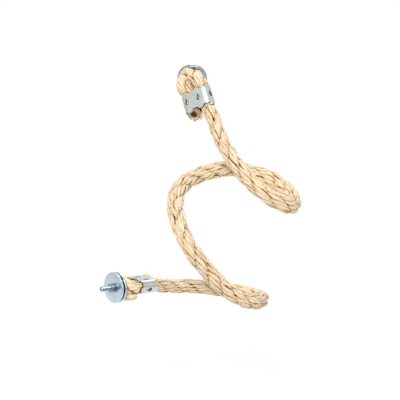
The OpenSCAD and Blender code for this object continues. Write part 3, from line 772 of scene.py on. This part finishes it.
sheet_edge = 0.00012
cut_edge_angle, flat_angle, bend_angle = math.radians(40), math.radians(1), math.radians(25)
for name in ("top", "bottom"):
    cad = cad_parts[f"{name}_clamp"]
    mesh = cad.data.copy()
    mesh.name = f"{name}_clamp_sheet"
    mesh.transform(cad.matrix_world)
    sheet = bmesh.new()
    sheet.from_mesh(mesh)
    bmesh.ops.remove_doubles(sheet, verts=sheet.verts, dist=1e-6)
    bmesh.ops.dissolve_limit(sheet, angle_limit=flat_angle, verts=sheet.verts, edges=sheet.edges)
    cut_edges = [e for e in sheet.edges if len(e.link_faces) == 2 and e.calc_face_angle() > cut_edge_angle]
    bmesh.ops.bevel(sheet, geom=cut_edges, offset=sheet_edge, segments=2, affect="EDGES", profile=0.5,
                    clamp_overlap=True)
    sheet.to_mesh(mesh)
    sheet.free()
    smooth_shaded(mesh, clamp_zinc, bend_angle)
    piece = bpy.data.objects.new(mesh.name, mesh)
    scene.collection.objects.link(piece)
    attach(piece, f"{name}_end")
    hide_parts(f"{name}_clamp")


# The screw fixings, in zinc-plated steel: a threaded bolt with a hexagon head that is buried in the
# rope, a small washer under it, a pair of wide pressed washers for the cage wires and a hexagon nut.
# Each is turned round its own axis, with z along the bolt and zero at the wide washers' seat.
bolt_r, thread_pitch, thread_depth = 0.0025, 0.0008, 0.0004
hex_af, hex_corner, hex_face_r = 0.008, 0.0045, 0.0038
head_depth, head_h, nut_h = 0.007, 0.0035, 0.0045
washer_r, wire_gap, washer_bore_r = 0.015, 0.0021, 0.0027
head_washer_r, head_washer_t = 0.006, 0.0016
tip_z = 0.02
tip_chamfer = 0.0006
outer_z = washer_t + wire_gap
nut_z = outer_z + washer_t
thread_fit, thread_mouth = 0.00005, 0.0004
head_dish_r, head_dish_edge, head_dish_depth = 0.0021, 0.0024, 0.00015
corner_slope = math.tan(math.radians(30))
punched_edge, bore_edge, rim_edge, fine_edge = 0.0004, 0.0003, 0.00015, 0.0001


def rounded(corners, count=4):
    """The corners of a section, each eased over its own length."""
    points = []
    for i, (x, z, ease) in enumerate(corners):
        p = np.array((x, z))
        a, b = (p + ease * unit(np.array(other[:2]) - p)
                for other in (corners[i - 1], corners[(i + 1) % len(corners)]))
        points += [(1 - t) ** 2 * a + 2 * t * (1 - t) * p + t * t * b for t in np.linspace(0, 1, count)]
    return points


def turned(label, end, section_at, body, steps=96, ring=True, material=washer_zinc):
    """A piece turned round a bolt's axis, with its section given at each angle."""
    angles = np.linspace(0, math.tau, steps, endpoint=False)
    points = []
    for a in angles:
        for r, z in section_at(a):
            points.append(end.seat + r * math.cos(a) * end.wide + r * math.sin(a) * end.flat + z * end.out)
    count = len(points) // steps
    faces = []
    for i in range(steps):
        j = (i + 1) % steps
        for k in range(count if ring else count - 1):
            m = (k + 1) % count
            faces.append((i * count + k, j * count + k, j * count + m, i * count + m))
    if not ring:
        faces.append([i * count for i in range(steps)][::-1])
        faces.append([i * count + count - 1 for i in range(steps)])
    mesh = bpy.data.meshes.new(label)
    mesh.from_pydata([tuple(p) for p in points], [], faces)
    solid = bmesh.new()
    solid.from_mesh(mesh)
    bmesh.ops.recalc_face_normals(solid, faces=solid.faces)
    solid.to_mesh(mesh)
    solid.free()
    smooth_shaded(mesh, material)
    piece = bpy.data.objects.new(label, mesh)
    scene.collection.objects.link(piece)
    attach(piece, body)
    return piece


def washer_section(z, radius, thickness, bore=washer_bore_r):
    """Stamped out of sheet: rounder on the side that the punch met."""
    corners = rounded([(bore, z, fine_edge), (radius, z, rim_edge), (radius, z + thickness, punched_edge),
                       (bore, z + thickness, bore_edge)])
    return lambda a: corners


def hex_reach(a):
    turn = (a + math.pi / 6) % (math.pi / 3) - math.pi / 6
    return min(hex_af / 2 / math.cos(turn), hex_corner)


def nut_section(a):
    reach = hex_reach(a)
    drop = (reach - hex_face_r) * corner_slope
    bore, mouth = bolt_r + thread_fit, bolt_r + thread_mouth
    low, high = nut_z, nut_z + nut_h
    return [(bore, low + thread_mouth), (mouth, low), (hex_face_r, low), (reach, low + drop),
            (reach, high - drop), (hex_face_r, high), (mouth, high), (bore, high - thread_mouth)]


def bolt_section(a):
    reach = hex_reach(a)
    drop = (reach - hex_face_r) * corner_slope
    top = -head_depth - head_h
    points = [(head_dish_r, top + head_dish_depth), (head_dish_edge, top), (hex_face_r, top),
              (reach, top + drop), (reach, -head_depth), (bolt_r, -head_depth)]
    for z in np.arange(-head_depth + 2 * thread_pitch, tip_z, thread_pitch / 8):
        wave = abs(2 * ((z / thread_pitch - a / math.tau) % 1) - 1)
        run_in = min(1, (z + head_depth) / thread_pitch - 2)
        deep = thread_depth * min(max(1.3 * wave - 0.15, 0), 1) * run_in
        points.append((min(bolt_r - deep, bolt_r + (tip_z - tip_chamfer - z)), z))
    return points + [(bolt_r - tip_chamfer, tip_z)]


for name, end in (("top", top_end), ("bottom", bottom_end)):
    body = f"{name}_end"
    head_washer = washer_section(-head_depth, head_washer_r, head_washer_t)
    inner_washer, outer_washer = (washer_section(z, washer_r, washer_t) for z in (0, outer_z))
    fixings = (("bolt", bolt_section, body, 60, False, bolt_zinc, "bolt"),
               ("head_washer", head_washer, body, 64, True, washer_zinc, "washer"),
               ("inner_washer", inner_washer, body, 96, True, washer_zinc, "washer"),
               ("outer_washer", outer_washer, f"{name}_outer_washer", 96, True, washer_zinc, "washer"),
               ("nut", nut_section, f"{name}_nut", 72, True, bolt_zinc, "nut"))
    for kind, section, rides, steps, ring, material, slot in fixings:
        piece = turned(f"{name}_{kind}_made", end, section, rides, steps, ring, material)
        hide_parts(f"{name}_{kind}")


# A plain pale floor well below the perch, with soft lamps round it. A dark curtain behind the camera
# is what the plated faces mirror, so that they don't burn out.
floor_z, floor_reach = -0.32, 3
floor_mesh = bpy.data.meshes.new("floor")
floor_mesh.from_pydata([(floor_reach * x, floor_reach * y, floor_z)
                        for x, y in ((-1, -1), (1, -1), (1, 1), (-1, 1))], [], [(0, 1, 2, 3)])
floor = bpy.data.objects.new("floor", floor_mesh)
scene.collection.objects.link(floor)
paper, tree, face = new_material("paper")
face.inputs["Base Color"].default_value = (0.9, 0.9, 0.9, 1)
face.inputs["Roughness"].default_value = 0.9
paths = node(tree, "ShaderNodeLightPath").outputs
white = node(tree, "ShaderNodeEmission", {"Color": (1, 1, 1, 1), "Strength": 1.0}).outputs[0]
seen = step(tree, "MULTIPLY", paths["Is Camera Ray"], 0.93)
shown = node(tree, "ShaderNodeMixShader", {0: seen, 1: face.outputs[0], 2: white}).outputs[0]
tree.links.new(shown, tree.nodes["Material Output"].inputs["Surface"])
floor_mesh.materials.append(paper)

curtain_mesh = bpy.data.meshes.new("curtain")
curtain_mesh.from_pydata([(-2, -2.2, -0.3), (2, -2.2, -0.3), (2, -2.2, 1), (-2, -2.2, 1)], [],
                         [(0, 1, 2, 3)])
curtain = bpy.data.objects.new("curtain", curtain_mesh)
scene.collection.objects.link(curtain)
cloth, tree, face = new_material("curtain")
face.inputs["Base Color"].default_value = (0.03, 0.035, 0.035, 1)
face.inputs["Roughness"].default_value = 0.9
curtain_mesh.materials.append(cloth)
curtain.visible_camera = False

world = bpy.data.worlds.new("studio")
scene.world = world
world.use_nodes = True
tree = world.node_tree
paths = node(tree, "ShaderNodeLightPath").outputs
seen = step(tree, "MAXIMUM", paths["Is Camera Ray"], step(tree, "MAXIMUM", paths["Is Glossy Ray"],
                                                         paths["Is Transmission Ray"]))
strength = node(tree, "ShaderNodeMapRange", {"Value": seen, "To Min": 0.36, "To Max": 1.0})
tree.links.new(strength.outputs["Result"], tree.nodes["Background"].inputs["Strength"])
tree.nodes["Background"].inputs["Color"].default_value = (1, 1, 1, 1)
for label, place, size, power in (("key", (-0.55, -1.2, 2.0), 0.9, 58), ("fill", (1.1, -0.8, 0.5), 0.9, 5),
                                  ("back", (0.2, 1.0, 0.9), 0.9, 8)):
    lamp = bpy.data.lights.new(label, "AREA")
    lamp.size, lamp.energy = size, power
    holder = bpy.data.objects.new(label, lamp)
    holder.location = place
    holder.rotation_euler = (Vector(place) - aim).to_track_quat("Z", "Y").to_euler()
    scene.collection.objects.link(holder)
